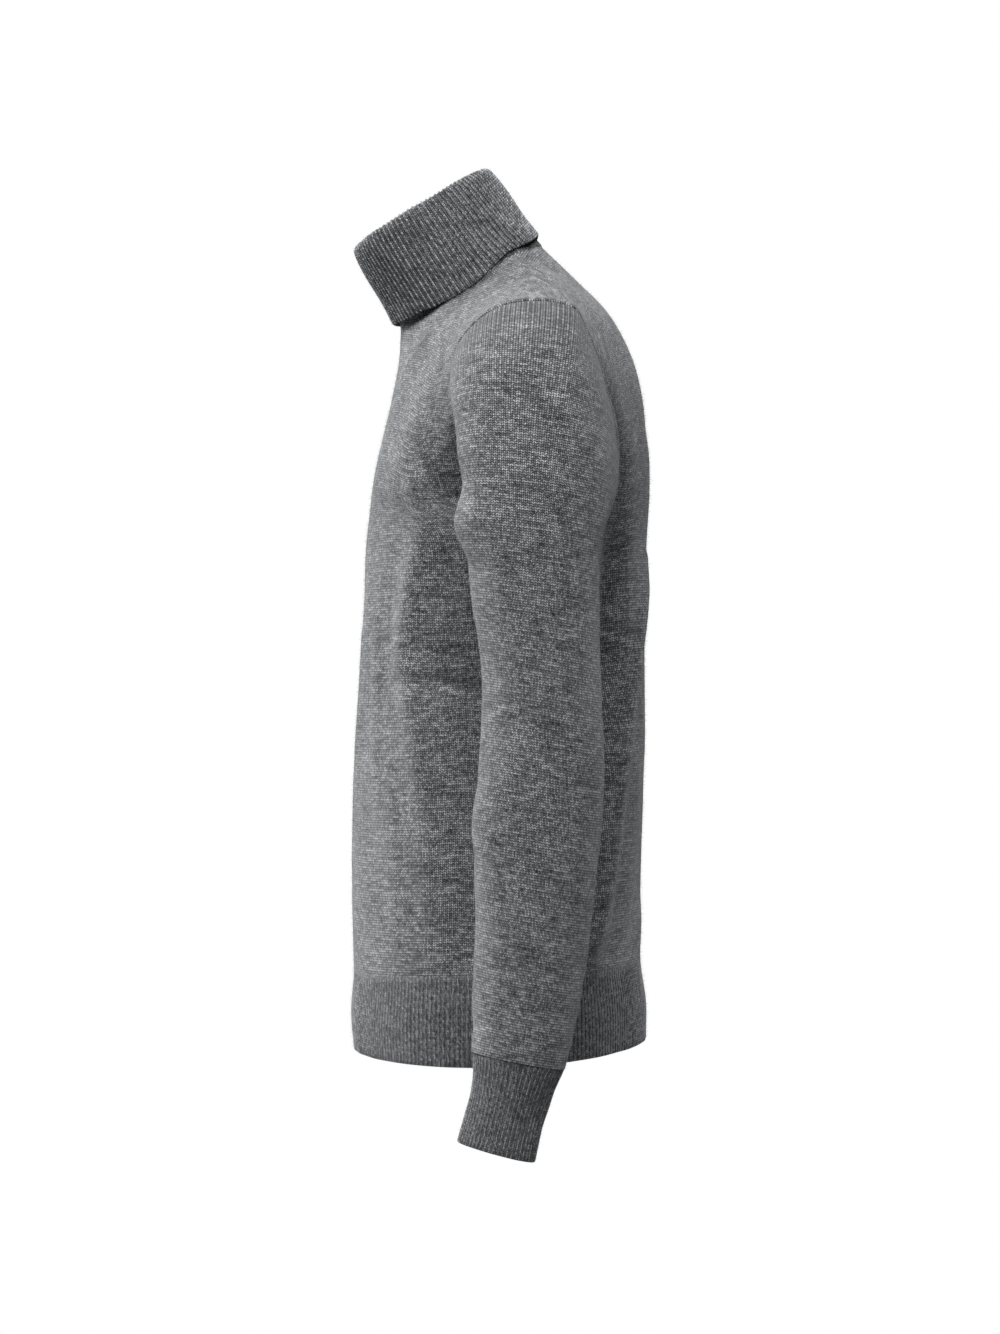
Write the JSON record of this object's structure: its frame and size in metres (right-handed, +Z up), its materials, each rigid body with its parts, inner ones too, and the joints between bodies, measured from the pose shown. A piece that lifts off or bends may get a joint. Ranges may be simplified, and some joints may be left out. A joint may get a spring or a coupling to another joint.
{
  "type": "turtleneck sweater",
  "caption": "Long-sleeved jersey knit sweater in its worn shape, open and empty, with a folded ribbed turtleneck collar, set-in sleeves and ribbed cuffs and hem.",
  "frame": {"origin": "middle of the neck seam, where the collar joins the body and the wearer's shoulders and neck hold the sweater up", "axes": "+Z up, towards the collar; -Y out of the chest; +X to the wearer's left"},
  "size_m": [0.5958, 0.2499, 0.8108],
  "materials": {
    "jersey_knit": "soft grey melange wool jersey, matt with a short nap",
    "rib_knit": "soft grey melange wool 1x1 rib, matt with a short nap"
  },
  "bodies": {
    "root": {"front_panel": "jersey_knit", "back_panel": "jersey_knit", "left_sleeve": "jersey_knit", "right_sleeve": "jersey_knit", "front_hem_rib": "rib_knit", "back_hem_rib": "rib_knit", "left_cuff": "rib_knit", "right_cuff": "rib_knit", "collar": "rib_knit"}
  },
  "joints": []
}
